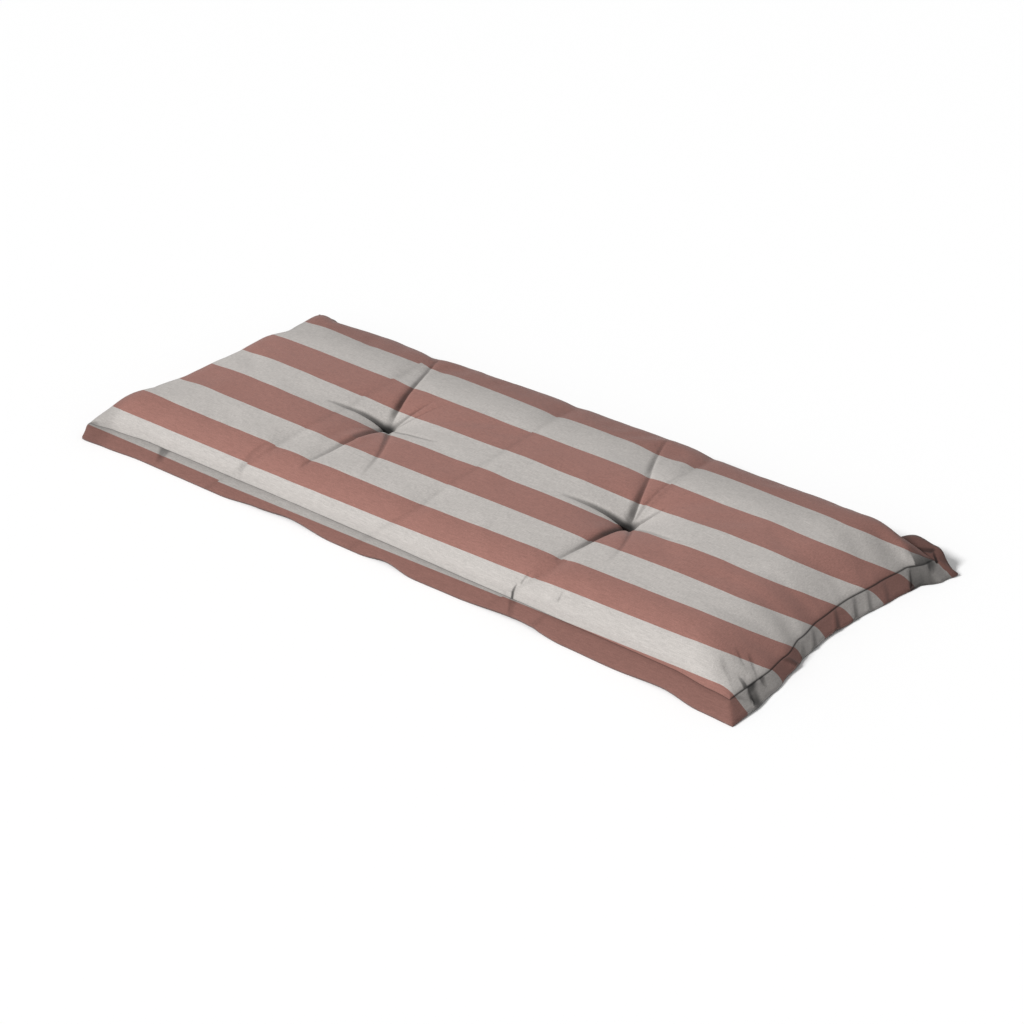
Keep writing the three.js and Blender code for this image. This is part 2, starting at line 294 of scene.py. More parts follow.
def beyondSeam(flat, size):  # 0 on the pad, 1 on the outer edge
    return np.maximum(0, (np.abs(flat) - flatSeam(size)) / pad["flangeWidth"])


def drawnIn(flat, size, straightSeam, seamIn, edgeIn):  # one coordinate, with its sides drawn in
    seam = straightSeam - seamIn
    edge = size / 2 - edgeIn
    seamOnFlat = flatSeam(size)
    beyond = beyondSeam(flat, size)
    pull = smooth((np.abs(flat) - (seamOnFlat - pad["drawInReach"])) / pad["drawInReach"])
    onPad = flat + np.sign(flat) * (seam - seamOnFlat) * pull
    return np.where(beyond > 0, np.sign(flat) * blend(seam, edge, beyond), onPad)


def planPlace(flatX, flatY):  # where a place of the flat cover lies, seen from above
    endSeam, longSeam = sideValues("seamIn", flatX, flatY)
    endEdge, longEdge = sideValues("edgeIn", flatX, flatY)
    x = drawnIn(flatX, pad["length"], pad["seamX"], endSeam, endEdge)
    y = drawnIn(flatY, pad["depth"], pad["seamY"], longSeam, longEdge)
    return x, y


def insideSeam(flatX, flatY):  # less than 0 on the flange
    return flatSeam(pad["length"]) - np.abs(flatX), flatSeam(pad["depth"]) - np.abs(flatY)


def rollShare(inward, roll):  # 0 at the seam, 1 where the side has turned level
    reach, steep = roll
    rest = 1 - np.clip(inward / reach, 0, 1)
    easy = 1 - rest**2
    fullness = pad["rollFullness"]
    full = (1 - rest**fullness) ** (1 / fullness)
    return blend(easy, full, steep)


def rollRise(inX, inY, flatX, flatY):
    endRoll = np.where(flatX < 0, rollShare(inX, rolls["left"]), rollShare(inX, rolls["right"]))
    longRoll = np.where(flatY < 0, rollShare(inY, rolls["front"]), rollShare(inY, rolls["back"]))
    return endRoll * longRoll


def flangeHeight(flatX, flatY):
    beyondX = beyondSeam(flatX, pad["length"])
    beyondY = beyondSeam(flatY, pad["depth"])
    endEdge, longEdge = sideValues("edgeHeight", flatX, flatY)
    both = np.maximum(beyondX + beyondY, nearZero)
    edge = (beyondX * endEdge + beyondY * longEdge) / both + pad["flangeThickness"]
    return blend(pad["seamHeight"], edge, np.maximum(beyondX, beyondY))


def smoothHeight(flatX, flatY):  # the top without its tufts and folds
    inX, inY = insideSeam(flatX, flatY)
    crown = pad["crownRise"] * smooth(inX / pad["crownReachX"]) * smooth(inY / pad["crownReachY"])
    rise = pad["rollHeight"] - pad["seamHeight"] + crown
    onPad = pad["seamHeight"] + rise * rollRise(inX, inY, flatX, flatY)
    return np.where((inX < 0) | (inY < 0), flangeHeight(flatX, flatY), onPad)


def tuftDip(x, y):
    dip = np.zeros_like(x)
    for tuftX, tuftY in tufts["places"].values():
        away = np.hypot(x - tuftX, y - tuftY)
        dip += tufts["pull"] * np.exp(-away / tufts["pullReach"])
        dip += tufts["hollow"] * np.exp(-((away / tufts["hollowReach"]) ** 2))
    return dip


def creaseLine(start, end, bow):
    start, end = np.array(start), np.array(end)
    run = end - start
    leftward = np.array([-run[1], run[0]]) / np.hypot(*run)
    middle = start + run / 2 + leftward * 2 * bow
    t = np.linspace(0, 1, creaseShape["steps"] + 1)[:, None]
    return (1 - t) ** 2 * start + 2 * t * (1 - t) * middle + t**2 * end


def alongAndAside(line, x, y):  # share of the way along a line, and distance, to the left above 0
    nearest = np.full(x.shape, np.inf)
    along = np.zeros_like(x)
    aside = np.zeros_like(x)
    for step in range(len(line) - 1):
        a, run = line[step], line[step + 1] - line[step]
        share = np.clip(((x - a[0]) * run[0] + (y - a[1]) * run[1]) / (run @ run), 0, 1)
        offX, offY = x - a[0] - share * run[0], y - a[1] - share * run[1]
        away = np.hypot(offX, offY)
        closer = away < nearest
        nearest = np.where(closer, away, nearest)
        along = np.where(closer, (step + share) / (len(line) - 1), along)
        aside = np.where(closer, away * np.sign(run[0] * offY - run[1] * offX), aside)
    return along, aside


# A crease's darkness is painted shade, laid into the cloth's colour
def creaseFields(rows, x, y, originX=0, originY=0):  # depth and darkness of a set of creases
    dip, dark = np.zeros_like(x), np.zeros_like(x)
    for row in rows:
        crease = dict(zip(creaseColumns, row))
        line = creaseLine(crease["start"], crease["end"], crease["bow"]) + (originX, originY)
        reach = 2 * max(crease["left"], crease["right"])
        low, high = line.min(axis=0) - reach, line.max(axis=0) + reach
        near = (x > low[0]) & (x < high[0]) & (y > low[1]) & (y < high[1])
        along, aside = alongAndAside(line, x[near], y[near])
        strength = (1 - along) ** creaseShape["taper"]
        if crease["lead"] > 0:
            strength *= smooth(along / crease["lead"])
        bank = np.where(aside > 0, crease["left"], crease["right"])
        slope = np.clip(1 - np.abs(aside) / bank, 0, 1)
        here = crease["deep"] * strength * slope ** creaseShape["bankPower"]
        dip[near] = np.where(np.abs(here) > np.abs(dip[near]), here, dip[near])
        reach = np.where(aside > 0, crease["darkLeft"], crease["darkRight"])
        reach = reach * (1 - creaseShape["darkNarrows"] * along)
        across = smooth(creaseShape["darkCrisp"] * (1 - np.abs(aside) / reach))
        here = crease["dark"] * strength ** creaseShape["darkTaper"] * across
        dark[near] = np.maximum(dark[near], here)
    return dip, dark


def flangeFoldDip(inX, inY, x, y):
    ease = np.clip(-np.minimum(inX, inY) / creaseShape["flangeEase"], 0, 1)
    return creaseFields(flangeFolds, x, y)[0] * ease


def creaseDip(x, y):  # all the creases on the pad's top
    dip, dark = creaseFields(padFolds, x, y)
    for name, place in tufts["places"].items():
        tuftDeep, tuftDark = creaseFields(tuftCreases[name], x, y, *place)
        dip = np.where(np.abs(tuftDeep) > np.abs(dip), tuftDeep, dip)
        dark = np.maximum(dark, tuftDark)
    return dip, dark


# Stripes, measured across on a level plane through the pad. Columns for each panel between
# two cross folds: the stripes' centre at its left and at its right, and their pitch at both
stripes = {
    "levelPlane": 0.055,
    "leanPerRise": 1.41,  # how far a place seems to move on that plane as it rises: in Y, in X
    "leanAcross": -1.217,
    "panels": [
        (-0.0553, -0.0542, 0.0641, 0.0634),
        (-0.0540, -0.0511, 0.0647, 0.0633),
        (-0.0499, -0.0437, 0.0637, 0.0626),
        (-0.0412, -0.0340, 0.0626, 0.0603),
    ],
    "whiteShare": 0.49,
    "frontWhite": 3,  # stripes from the middle one to the front white one
    "lastBand": 4,  # and to the outermost bands
    "lastWhite": (0.54, 0.63),  # the front white stripe's own share, at its left and its right
    "backBandFrom": 0.2,  # behind here, as far right as the next, all is the back band's
    "backBandTo": 0.5,
    "holdLeft": 0.018,  # the stripes run straight over an end as far as here from its seam
    "holdRight": -0.010,
    "holdCorner": 0.016,
    "holdEase": 0.008,
    "cornerFrom": 0.12,  # the front right corner is held from here, eased in over a width
    "cornerEase": 0.06,
    "dipShare": 0.75,  # how much of a fold's depth the stripes follow
}


def onLevel(x, y, height):  # where a place seems to lie on the stripes' level plane
    rise = height - stripes["levelPlane"]
    return x + stripes["leanAcross"] * rise, y + stripes["leanPerRise"] * rise


def foldPlaces(levelY):  # where each cross fold lies on that plane, between the ends of the pad
    places = [np.full_like(levelY, -pad["length"] / 2)]
    for frontX, backX in crossFolds["places"]:
        places.append(blend(frontX, backX, (levelY + pad["seamY"]) / (2 * pad["seamY"])))
    places.append(np.full_like(levelY, pad["length"] / 2))
    return np.array(places)


def foldDistance(flatX, flatY, x, y):  # how far a place is from the nearest cross fold
    levelX, levelY = onLevel(x, y, smoothHeight(flatX, flatY))
    return np.abs(levelX - foldPlaces(levelY)[1:-1]).min(axis=0)


def crossFoldDip(flatX, flatY, x, y):
    away = foldDistance(flatX, flatY, x, y) / crossFolds["width"]
    return crossFolds["depth"] * np.exp(-(away**2))


def seamDistance(inX, inY):  # how far a place on the flat cover is from the seam
    outside = np.hypot(np.minimum(inX, 0), np.minimum(inY, 0))
    return np.where((inX > 0) & (inY > 0), np.minimum(inX, inY), outside)


def topHeight(flatX, flatY, x, y):
    inX, inY = insideSeam(flatX, flatY)
    dips = tuftDip(x, y) + creaseDip(x, y)[0] + crossFoldDip(flatX, flatY, x, y)
    onPad = (inX >= 0) & (inY >= 0)
    rise = rollRise(inX, inY, flatX, flatY)
    groove = seamGroove["depth"] * np.exp(-((seamDistance(inX, inY) / seamGroove["width"]) ** 2))
    dips = np.where(onPad, dips * rise, flangeFoldDip(inX, inY, x, y)) + groove
    height = smoothHeight(flatX, flatY) - dips
    return np.where(onPad, height, np.maximum(height, pad["flangeThickness"]))


def undersideHeight(flatX, flatY, x, y):
    inX, inY = insideSeam(flatX, flatY)
    lift = np.zeros_like(x)
    for tuftX, tuftY in tufts["places"].values():
        away = np.hypot(x - tuftX, y - tuftY) / tufts["undersideReach"]
        lift += tufts["undersidePull"] * np.exp(-(away**2))
    lift = np.where(lift > tufts["undersideFlat"], lift, 0)
    roll = rollShare(inX, rolls["underside"]) * rollShare(inY, rolls["underside"])
    onPad = (pad["seamHeight"] - pad["seamThickness"]) * (1 - roll) + lift
    beyond = np.clip(np.maximum(-inX, -inY) / pad["flangeWidth"], 0, 1)
    thickness = blend(pad["seamThickness"], pad["flangeThickness"], beyond)
    onFlange = flangeHeight(flatX, flatY) - thickness - flangeFoldDip(inX, inY, x, y)
    onFlange = np.maximum(onFlange, 0)
    return np.where((inX < 0) | (inY < 0), onFlange, onPad)


# Painted shade: how much the cloth's colour is darkened in the seam and beside it, on the
# flange, where a side falls away from the light, along the cross folds and in the tufts' pits
shades = {
    "seamEnds": 0.80,
    "seamSides": (0.54, 0.64),  # at their left and at their right
    "seamWidth": 0.0010,
    "seamCorner": 0.01,  # over what width an end's dark turns into a long side's
    "besideFlange": 0.20,
    "besidePad": 0.10,
    "besideWidth": 0.005,
    "flanges": {"front": 0.28, "back": 0.46, "left": 0.24, "right": 0.34},
    "flangeCorner": 0.016,  # over what width one flange's shade turns into the next
    "frontSlope": (0.07, 0.10),  # how dark, and how far in it begins
    "backSlope": (0.20, 0.14),
    "backRoll": (0.24, 0.026),
    "leftRoll": (0.20, 0.060),
    "slopeFull": 1.6,  # above 1 for a slope that is darkest before it reaches the seam
    "slopeStart": 0.05,  # the slopes' shades begin over this width from the middle line
    "crossFold": 0.09,
    "crossFoldWidth": 0.005,
    "pit": 1.0,
    "pitOff": (-0.003, 0.002),
    "pitReach": 0.010,
    "pitEdge": 3,  # higher for a clearer edge
    "most": 0.96,
}


def layShade(dark, more):  # one shade over another
    return 1 - (1 - dark) * (1 - more)


# Painted shade on the flanges and on the slopes that fall away from the light
def sideShade(flatX, flatY, inX, inY):  # the sides that fall away from the light
    tone = shades["flanges"]
    byEnd = smooth(0.5 + (inY - inX) / shades["flangeCorner"])
    end = np.where(flatX < 0, tone["left"], tone["right"])
    long = np.where(flatY < 0, tone["front"], tone["back"])
    dark = np.where((inX < 0) | (inY < 0), blend(long, end, byEnd), 0)
    for name, inward, outward in (
        ("frontSlope", inY, -flatY),
        ("backSlope", inY, flatY),
        ("backRoll", inY, flatY),
        ("leftRoll", inX, -flatX),
    ):
        most, reach = shades[name]
        begun = smooth(outward / shades["slopeStart"])
        slope = smooth(shades["slopeFull"] * (1 - inward / reach))
        dark = layShade(dark, most * begun * slope)
    return dark


# The seam's dark line is painted shade in the seam
def seamLine(flat, places):  # how far each place is from the seam, and how dark the seam is
    flatX, flatY, top = flat[:, 0], flat[:, 1], flat[:, 2] > 0
    inX, inY = insideSeam(flatX, flatY)
    onFlange = (inX < 0) | (inY < 0)
    seamLow = pad["seamHeight"] - np.where(top, 0, pad["seamThickness"])
    up = np.where(onFlange, 0, places[:, 2] - seamLow)
    away = np.hypot(seamDistance(inX, inY), up)
    sidesDark = blend(*shades["seamSides"], flatX / pad["length"] + 0.5)
    dark = blend(sidesDark, shades["seamEnds"], smooth((inY - inX) / shades["seamCorner"]))
    return np.where(onFlange, -away, away), dark


# All painted shade on the cover: beside the seam, on the flanges and slopes, along the folds and in
# the pits
def paintedShade(flat, places, gap):  # 0 in the open, 1 where folds hide the cloth from the light
    flatX, flatY, top = flat[:, 0], flat[:, 1], flat[:, 2] > 0
    x, y = places[:, 0], places[:, 1]
    inX, inY = insideSeam(flatX, flatY)
    onFlange = (inX < 0) | (inY < 0)
    beside = np.where(onFlange, shades["besideFlange"], shades["besidePad"])
    dark = beside * np.exp(-np.abs(gap) / shades["besideWidth"])
    dark = layShade(dark, sideShade(flatX, flatY, inX, inY))
    across = foldDistance(flatX, flatY, x, y) / shades["crossFoldWidth"]
    dark = layShade(dark, shades["crossFold"] * np.exp(-(across**2)))
    offX, offY = shades["pitOff"]
    for tuftX, tuftY in tufts["places"].values():
        away = np.hypot(x - tuftX - offX, y - tuftY - offY)
        pit = np.exp(-((away / shades["pitReach"]) ** shades["pitEdge"]))
        dark = layShade(dark, shades["pit"] * pit)
    creased = np.where(onFlange, creaseFields(flangeFolds, x, y)[1], creaseDip(x, y)[1])
    return np.clip(layShade(dark, creased), 0, shades["most"]) * (top | onFlange)


def readPlaces(mesh):
    places = np.empty(len(mesh.vertices) * 3)
    mesh.vertices.foreach_get("co", places)
    return places.reshape(-1, 3)


def writePlaces(mesh, places):
    mesh.vertices.foreach_set("co", places.ravel())
    mesh.update()


def readVector(mesh, name):
    values = np.empty(len(mesh.vertices) * 3, np.float32)
    mesh.attributes[name].data.foreach_get("vector", values)
    return values.reshape(-1, 3).astype(float)


def keepVector(mesh, name, values):
    layer = mesh.attributes.new(name, "FLOAT_VECTOR", "POINT")
    layer.data.foreach_set("vector", values.astype(np.float32).ravel())


def keepFloat(mesh, name, values):
    layer = mesh.attributes.new(name, "FLOAT", "POINT")
    layer.data.foreach_set("value", values.astype(np.float32))


def coverPlaces(flat):  # where each place of the flat cover lies on the finished pad
    flatX, flatY, top = flat[:, 0], flat[:, 1], flat[:, 2] > 0
    x, y = planPlace(flatX, flatY)
    z = np.where(top, topHeight(flatX, flatY, x, y), undersideHeight(flatX, flatY, x, y))
    return np.column_stack([x, y, z])


def makeFlatCover():
    bpy.ops.object.select_all(action="DESELECT")
    stepsX = round(pad["length"] / pad["gridStep"])
    stepsY = round(pad["depth"] / pad["gridStep"])
    bpy.ops.mesh.primitive_grid_add(x_subdivisions=stepsX, y_subdivisions=stepsY, size=1)
    cover = bpy.context.object
    cover.name = "canvasCushion"
    cover.scale = (pad["length"], pad["depth"], 1)
    bpy.ops.object.transform_apply(scale=True)
    bpy.ops.object.mode_set(mode="EDIT")
    bpy.ops.mesh.select_all(action="SELECT")
    bpy.ops.mesh.extrude_region_move(TRANSFORM_OT_translate={"value": (0, 0, 1)})
    bpy.ops.mesh.select_all(action="SELECT")
    bpy.ops.mesh.normals_make_consistent(inside=False)
    bpy.ops.object.mode_set(mode="OBJECT")
    print("flat cover:", len(cover.data.vertices), "vertices")
    return cover


def keepFlat(cover):  # each vertex remembers its place on the flat cover
    flat = readPlaces(cover.data)
    flat[:, 2] = np.where(flat[:, 2] > 0.5, 1, -1)  # the top above 0, the underside below
    keepVector(cover.data, "flat", flat)


def faceMiddles(cover):  # where they are on the flat cover, and which are on its top
    flat = readVector(cover.data, "flat")
    middles = np.array([flat[list(face.vertices)].mean(axis=0) for face in cover.data.polygons])
    return middles[:, 0], middles[:, 1], middles[:, 2] > 0.5


def subdivideFaces(cover, wanted):
    mesh = cover.data
    mesh.vertices.foreach_set("select", np.zeros(len(mesh.vertices), bool))
    mesh.edges.foreach_set("select", np.zeros(len(mesh.edges), bool))
    mesh.polygons.foreach_set("select", wanted)
    bpy.ops.object.mode_set(mode="EDIT")
    bpy.ops.mesh.select_mode(type="FACE")
    bpy.ops.mesh.subdivide(number_cuts=1, quadcorner="STRAIGHT_CUT")
    bpy.ops.object.mode_set(mode="OBJECT")


def refineTop(cover):  # closer rows of vertices on the side that shows, closest by seam and folds
    subdivideFaces(cover, faceMiddles(cover)[2])
    for limits in fineRounds:
        flatX, flatY, top = faceMiddles(cover)
        x, y = planPlace(flatX, flatY)
        dip, dark = creaseDip(x, y)
        flangeDip, flangeDark = creaseFields(flangeFolds, x, y)
        wanted = np.abs(dip) + np.abs(flangeDip) > limits["deep"]
        wanted |= dark + flangeDark > limits["dark"]
        wanted |= foldDistance(flatX, flatY, x, y) < limits["crossFold"]
        wanted |= seamDistance(*insideSeam(flatX, flatY)) < limits["seam"]
        subdivideFaces(cover, top & wanted)
    triangles = sum(len(face.vertices) - 2 for face in cover.data.polygons)
    print("cover refined:", len(cover.data.vertices), "vertices,", triangles, "triangles")


def stripeRun(flat, places):  # counts stripes across from the middle one
    flatX, flatY, top = flat[:, 0], flat[:, 1], flat[:, 2] > 0
    x, y, z = places.T
    z = np.where(top, z, z + pad["flangeThickness"])  # the flange's edge takes its top's stripes
    half = flatSeam(pad["length"])
    nearCorner = smooth((-flatY - stripes["cornerFrom"]) / stripes["cornerEase"])
    last = half - blend(stripes["holdRight"], stripes["holdCorner"], nearCorner)
    ease = stripes["holdEase"]
    over = np.maximum(flatX - last + ease, 0)  # the bend over the right end is rounded
    heldX = np.where(over > 0, last - ease * np.exp(-over / ease), flatX)
    heldX = np.maximum(heldX, stripes["holdLeft"] - half)
    dip = smoothHeight(flatX, flatY) - z
    height = smoothHeight(heldX, flatY) - stripes["dipShare"] * dip
    levelX, level = onLevel(x, y, height)
    folds = foldPlaces(level)
    index = np.clip((levelX > folds[1:-1]).sum(axis=0), 0, len(stripes["panels"]) - 1)
    row = np.arange(len(x))
    start, end = folds[index, row], folds[index + 1, row]
    share = np.clip((levelX - start) / (end - start), 0, 1)
    table = np.array(stripes["panels"])[index]
    centre = blend(table[:, 0], table[:, 1], share)
    pitch = blend(table[:, 2], table[:, 3], share)
    run = (level - centre) / pitch
    lastWhite = blend(*stripes["lastWhite"], x / pad["length"] + 0.5)
    front = stripes["frontWhite"]
    run = np.where(run < -front, -front + (run + front) * stripes["whiteShare"] / lastWhite, run)
    backBand = stripes["lastBand"] - stripes["whiteShare"]
    beyondBack = flatY > flatSeam(pad["depth"]) + hair
    nearBack = (flatY > stripes["backBandFrom"]) & (flatX < stripes["backBandTo"])
    run = np.where(beyondBack | nearBack, np.maximum(run, backBand), run)
    inX, inY = insideSeam(flatX, flatY)
    run = np.where(top | (inX < 0) | (inY < 0), run, y / pitch)
    return np.clip(run, -stripes["lastBand"], stripes["lastBand"])


# Cover colours and weave
canvas = {
    "white": (0.430, 0.404, 0.383),
    "terracotta": (0.270, 0.130, 0.107),
    "mapSteps": 1200,
    "threadPitch": 0.0011,
    "slubs": [(90, 900, 900), (900, 200, 900)],  # thick and thin in the threads, both ways
    "slubDetail": 1.5,
    "threadTone": 0.1,
    "toneRange": (0.65, 1.45),  # what slubs and threads add up to
    "toneChange": 0.18,
    "weaveStrength": 0.35,
    "weaveDepth": 0.0003,
    "roughness": 0.88,
    "gloss": 0.25,
    "sheen": 0.1,
}


def clothLength(at, alongX):  # length along the cloth, over the rolls at its ends
    size = pad["length"] if alongX else pad["depth"]
    line = np.linspace(-size / 2, size / 2, canvas["mapSteps"] + 1)
    still = np.zeros_like(line)
    flatX, flatY = (line, still) if alongX else (still, line)
    x, y = planPlace(flatX, flatY)
    z = smoothHeight(flatX, flatY)
    steps = np.sqrt(np.diff(x) ** 2 + np.diff(y) ** 2 + np.diff(z) ** 2)
    return np.interp(at, line, np.concatenate([[0], np.cumsum(steps)]))


def addClothMap(mesh, flat):  # the cloth laid flat, in metres, for the weave
    corners = np.empty(len(mesh.loops), np.int32)
    mesh.loops.foreach_get("vertex_index", corners)
    cloth = np.column_stack([clothLength(flat[:, 0], True), clothLength(flat[:, 1], False)])
    layer = mesh.uv_layers.new(name="clothMap")
    layer.data.foreach_set("uv", cloth[corners].astype(np.float32).ravel())


# The filling, blown into a slightly flatter cover
filling = {
    "flatter": 0.003,
    "pressure": 1.5,
    "frames": 20,
    "swellRounds": 30,  # how broad a swell is left out, as the crown already holds it
    "puffShare": 0.6,
    "mostPuff": 0.0025,
    "spareCloth": 0.02,
    "bending": 0.4,
    "tension": 12,
    "clothQuality": 6,
    "clothMass": 0.25,
    "pinStiffness": 2,
    "puffRounds": 3,  # how far what is left is spread on the finer mesh
    "tuftHold": 1.6,  # above 1 for a middle that is held whole
    "tuftHoldReach": 0.014,
    "creaseHold": 0.7,
    "creaseHoldDepth": 0.006,  # a crease as deep as this is held to that share
    "undersideHold": 0.9,
}


def evenOut(mesh, values, rounds):  # each vertex takes the mean of itself and its neighbours
    ends = np.empty(len(mesh.edges) * 2, np.int32)
    mesh.edges.foreach_get("vertices", ends)
    a, b = ends.reshape(-1, 2).T
    count = np.bincount(ends, minlength=len(values))[:, None] + 1
    for _ in range(rounds):
        total = values.copy()
        np.add.at(total, a, values[b])
        np.add.at(total, b, values[a])
        values = total / count
    return values


def sewnShare(flat, places):  # 1 where stitches or the floor hold the cover, 0 where it is free
    flatX, flatY, top = flat[:, 0], flat[:, 1], flat[:, 2] > 0
    inX, inY = insideSeam(flatX, flatY)
    held = smooth(1 - np.minimum(inX, inY) / pad["gridStep"])
    for tuftX, tuftY in tufts["places"].values():
        away = np.hypot(places[:, 0] - tuftX, places[:, 1] - tuftY)
        held = np.maximum(held, smooth(filling["tuftHold"] - away / filling["tuftHoldReach"]))
    creased = creaseDip(places[:, 0], places[:, 1])[0] / filling["creaseHoldDepth"]
    most = filling["creaseHold"]
    held = np.maximum(held, np.clip(most * creased, 0, most))
    return np.where(top, held, np.maximum(held, filling["undersideHold"]))


def fillCover(cover, flat, places):  # how far the filling pushes each vertex
    free = 1 - sewnShare(flat, places)
    start = places.copy()
    start[:, 2] -= filling["flatter"] * free
    writePlaces(cover.data, start)
    sewn = cover.vertex_groups.new(name="sewn")
    for index, share in enumerate(1 - free):
        if share > 0:
            sewn.add([index], float(share), "REPLACE")
    cloth = cover.modifiers.new("filling", "CLOTH")
    cloth.settings.quality = filling["clothQuality"]
    cloth.settings.mass = filling["clothMass"]
    cloth.settings.tension_stiffness = filling["tension"]
    cloth.settings.compression_stiffness = filling["tension"]
    cloth.settings.bending_stiffness = filling["bending"]
    cloth.settings.shrink_min = -filling["spareCloth"]
    cloth.settings.shrink_max = -filling["spareCloth"]
    cloth.settings.use_pressure = True
    cloth.settings.uniform_pressure_force = filling["pressure"]
    cloth.settings.effector_weights.gravity = 0
    cloth.settings.vertex_group_mass = "sewn"
    cloth.settings.pin_stiffness = filling["pinStiffness"]
    cloth.collision_settings.use_collision = False
    for step in range(1, filling["frames"] + 1):
        bpy.context.scene.frame_set(step)
    bpy.context.view_layer.objects.active = cover
    bpy.ops.object.modifier_apply(modifier="filling")
    bpy.context.scene.frame_set(1)
    puff = readPlaces(cover.data) - places
    puff = filling["puffShare"] * (puff - evenOut(cover.data, puff, filling["swellRounds"]))
    most = filling["mostPuff"]
    puff = most * np.tanh(puff / most) * free[:, None]
    print("filled: the cover moved", round(np.abs(puff[:, 2]).mean() * 1000, 2), "mm in the mean")
    return puff


def makeCushion():
    cover = makeFlatCover()
    keepFlat(cover)
    flat = readVector(cover.data, "flat")
    puff = fillCover(cover, flat, coverPlaces(flat))
    keepVector(cover.data, "puff", puff)
    refineTop(cover)
    flat = readVector(cover.data, "flat")
    shape = coverPlaces(flat)
    run = stripeRun(flat, shape)
    puff = evenOut(cover.data, readVector(cover.data, "puff"), filling["puffRounds"])
    middle = (shape.min(axis=0) + shape.max(axis=0)) / 2
    low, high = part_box("cushion")
    shift = np.array([(low.x + high.x) / 2 - middle[0], (low.y + high.y) / 2 - middle[1], 0])
    writePlaces(cover.data, shape + puff + shift)
    keepFloat(cover.data, "stripeRun", run)
    gap, seamShade = seamLine(flat, shape)
    keepFloat(cover.data, "seamGap", gap)
    keepFloat(cover.data, "seamShade", seamShade)
    keepFloat(cover.data, "paintedShade", paintedShade(flat, shape, gap))
    addClothMap(cover.data, flat)
    cover.data.polygons.foreach_set("use_smooth", np.ones(len(cover.data.polygons), bool))
    return cover


def link(tree, fromSocket, toSocket):
    tree.links.new(fromSocket, toSocket)


def mathNode(tree, operation, a, b=None):
    node = tree.nodes.new("ShaderNodeMath")
    node.operation = operation
    for socket, value in zip(node.inputs, (a, b)):
        if value is None:  # an operation on one value
            continue
        if isinstance(value, (int, float)):
            socket.default_value = value
        else:
            link(tree, value, socket)
    return node.outputs[0]


def makeWeave():  # a plain weave over the cloth's own map: its height and its tone
    group = bpy.data.node_groups.new("plainWeave", "ShaderNodeTree")
    face = group.interface
    face.new_socket("Cloth", in_out="INPUT", socket_type="NodeSocketVector")
    face.new_socket("Place", in_out="INPUT", socket_type="NodeSocketVector")
    face.new_socket("Threads", in_out="INPUT", socket_type="NodeSocketFloat")
    face.new_socket("Height", in_out="OUTPUT", socket_type="NodeSocketFloat")
    face.new_socket("Tone", in_out="OUTPUT", socket_type="NodeSocketFloat")
    inside = group.nodes.new("NodeGroupInput")
    outside = group.nodes.new("NodeGroupOutput")
    split = group.nodes.new("ShaderNodeSeparateXYZ")
    link(group, inside.outputs["Cloth"], split.inputs[0])
    threads = []
    for axis in ("X", "Y"):
        turn = mathNode(group, "MULTIPLY", split.outputs[axis], inside.outputs["Threads"])
        wave = mathNode(group, "SINE", mathNode(group, "MULTIPLY", turn, math.pi))
        threads.append(mathNode(group, "ABSOLUTE", wave))
    checker = group.nodes.new("ShaderNodeTexChecker")
    link(group, inside.outputs["Cloth"], checker.inputs["Vector"])
    link(group, inside.outputs["Threads"], checker.inputs["Scale"])
    over = group.nodes.new("ShaderNodeMix")
    link(group, checker.outputs["Fac"], over.inputs["Factor"])
    link(group, threads[0], over.inputs["A"])
    link(group, threads[1], over.inputs["B"])
    slubs = []
    for stretch in canvas["slubs"]:
        run = group.nodes.new("ShaderNodeMapping")
        run.inputs["Scale"].default_value = stretch
        link(group, inside.outputs["Place"], run.inputs["Vector"])
        noise = group.nodes.new("ShaderNodeTexNoise")
        noise.inputs["Scale"].default_value = 1
        noise.inputs["Detail"].default_value = canvas["slubDetail"]
        link(group, run.outputs["Vector"], noise.inputs["Vector"])
        slubs.append(noise.outputs["Fac"])
    slub = mathNode(group, "ADD", slubs[0], slubs[1])
    thread = mathNode(group, "MULTIPLY", over.outputs["Result"], canvas["threadTone"])
    tone = mathNode(group, "ADD", thread, slub)
    height = mathNode(group, "ADD", over.outputs["Result"], slub)
    link(group, height, outside.inputs["Height"])
    link(group, tone, outside.inputs["Tone"])
    return group


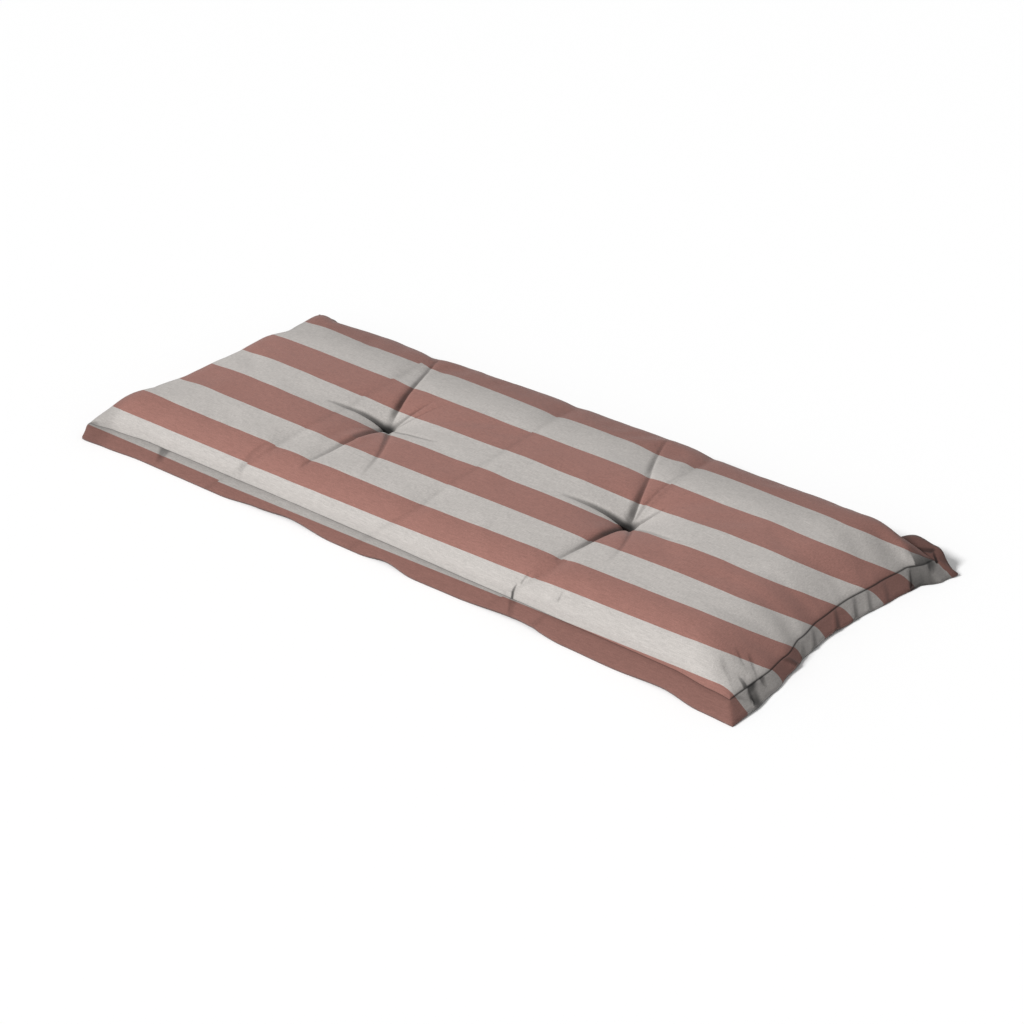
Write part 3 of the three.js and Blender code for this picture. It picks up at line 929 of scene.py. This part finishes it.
def makeCanvas():
    material = bpy.data.materials.new("stripedCanvas")
    material.use_nodes = True
    tree = material.node_tree
    shader = tree.nodes["Principled BSDF"]
    run = tree.nodes.new("ShaderNodeAttribute")
    run.attribute_name = "stripeRun"
    fromOuter = mathNode(tree, "ADD", run.outputs["Fac"], stripes["lastBand"])
    pairs = mathNode(tree, "FRACT", mathNode(tree, "MULTIPLY", fromOuter, 0.5))
    fromWhite = mathNode(tree, "ABSOLUTE", mathNode(tree, "SUBTRACT", pairs, 0.5))
    isWhite = mathNode(tree, "LESS_THAN", fromWhite, stripes["whiteShare"] / 2)
    mix = tree.nodes.new("ShaderNodeMix")
    mix.data_type = "RGBA"
    link(tree, isWhite, mix.inputs["Factor"])
    mix.inputs["A"].default_value = (*canvas["terracotta"], 1)
    mix.inputs["B"].default_value = (*canvas["white"], 1)

    cloth = tree.nodes.new("ShaderNodeUVMap")
    cloth.uv_map = "clothMap"
    weave = tree.nodes.new("ShaderNodeGroup")
    weave.node_tree = makeWeave()
    link(tree, cloth.outputs["UV"], weave.inputs["Cloth"])
    place = tree.nodes.new("ShaderNodeTexCoord")
    link(tree, place.outputs["Object"], weave.inputs["Place"])
    weave.inputs["Threads"].default_value = 1 / canvas["threadPitch"]
    tone = tree.nodes.new("ShaderNodeMapRange")
    link(tree, weave.outputs["Tone"], tone.inputs["Value"])
    tone.inputs["From Min"].default_value = canvas["toneRange"][0]
    tone.inputs["From Max"].default_value = canvas["toneRange"][1]
    tone.inputs["To Min"].default_value = 1 - canvas["toneChange"]
    tone.inputs["To Max"].default_value = 1 + canvas["toneChange"]
    # Painted shade: the seam's line and the cover's folds darken the stripes' colour
    attributes = {}
    for name in ("paintedShade", "seamGap", "seamShade"):
        node = tree.nodes.new("ShaderNodeAttribute")
        node.attribute_name = name
        attributes[name] = node.outputs["Fac"]
    off = mathNode(tree, "DIVIDE", attributes["seamGap"], shades["seamWidth"])
    offSquared = mathNode(tree, "MULTIPLY", off, off)
    line = mathNode(tree, "EXPONENT", mathNode(tree, "MULTIPLY", offSquared, -1))
    seam = mathNode(tree, "SUBTRACT", 1, mathNode(tree, "MULTIPLY", line, attributes["seamShade"]))
    clear = mathNode(tree, "SUBTRACT", 1, attributes["paintedShade"])
    light = mathNode(tree, "MULTIPLY", seam, clear)
    value = mathNode(tree, "MULTIPLY", light, tone.outputs["Result"])
    scaled = tree.nodes.new("ShaderNodeVectorMath")
    scaled.operation = "SCALE"
    link(tree, mix.outputs["Result"], scaled.inputs["Vector"])
    link(tree, value, scaled.inputs["Scale"])
    link(tree, scaled.outputs["Vector"], shader.inputs["Base Color"])

    bump = tree.nodes.new("ShaderNodeBump")
    bump.inputs["Strength"].default_value = canvas["weaveStrength"]
    bump.inputs["Distance"].default_value = canvas["weaveDepth"]
    link(tree, weave.outputs["Height"], bump.inputs["Height"])
    link(tree, bump.outputs["Normal"], shader.inputs["Normal"])
    shader.inputs["Roughness"].default_value = canvas["roughness"]
    shader.inputs["Specular IOR Level"].default_value = canvas["gloss"]
    shader.inputs["Sheen Weight"].default_value = canvas["sheen"]
    return material


paleFloor = {"size": 60, "grey": (0.9, 0.9, 0.9), "roughness": 0.9}


def makeFloor():
    bpy.ops.object.select_all(action="DESELECT")
    bpy.ops.mesh.primitive_plane_add(size=paleFloor["size"], location=(0, 0, 0))
    floor = bpy.context.object
    floor.name = "floor"
    material = bpy.data.materials.new("paleFloor")
    material.use_nodes = True
    shader = material.node_tree.nodes["Principled BSDF"]
    shader.inputs["Base Color"].default_value = (*paleFloor["grey"], 1)
    shader.inputs["Roughness"].default_value = paleFloor["roughness"]
    floor.data.materials.append(material)


studio = {
    "sky": 0.45,
    "keyStrength": 3.35,
    "keyFrom": (-0.25, -0.73, 0.62),
    "keySoftness": 16,
}


def lightStudio():
    world = bpy.data.worlds.new("studioSky")
    bpy.context.scene.world = world
    world.use_nodes = True
    background = world.node_tree.nodes["Background"]
    background.inputs["Color"].default_value = (1, 1, 1, 1)
    background.inputs["Strength"].default_value = studio["sky"]
    key = bpy.data.lights.new("keyLight", "SUN")
    key.energy = studio["keyStrength"]
    key.angle = math.radians(studio["keySoftness"])
    lamp = bpy.data.objects.new("keyLight", key)
    lamp.rotation_euler = Vector(studio["keyFrom"]).to_track_quat("Z", "Y").to_euler()
    bpy.context.scene.collection.objects.link(lamp)
    bpy.context.scene.view_settings.view_transform = "Standard"


shot = {
    "target": (0.0337, -0.0095, 0),
    "distance": 4.266,
    "azimuth": 40.5,
    "elevation": 28.73,
    "lens": 108.9,
    "sensor": 36,
}


def placeCamera():
    around = math.radians(shot["azimuth"])
    above = math.radians(shot["elevation"])
    back = Vector(
        (math.sin(around) * math.cos(above), -math.cos(around) * math.cos(above), math.sin(above))
    )
    lens = bpy.data.cameras.new("photoCamera")
    lens.lens = shot["lens"]
    lens.sensor_width = shot["sensor"]
    camera = bpy.data.objects.new("photoCamera", lens)
    camera.location = Vector(shot["target"]) + back * shot["distance"]
    camera.rotation_euler = back.to_track_quat("Z", "Y").to_euler()
    bpy.context.scene.collection.objects.link(camera)
    bpy.context.scene.camera = camera


cushion = makeCushion()
cushion.data.materials.append(makeCanvas())
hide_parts("cushion")
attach(cushion, "root")
print("cushion made and covered in canvas")
makeFloor()
lightStudio()
placeCamera()
print("floor, light and camera placed")
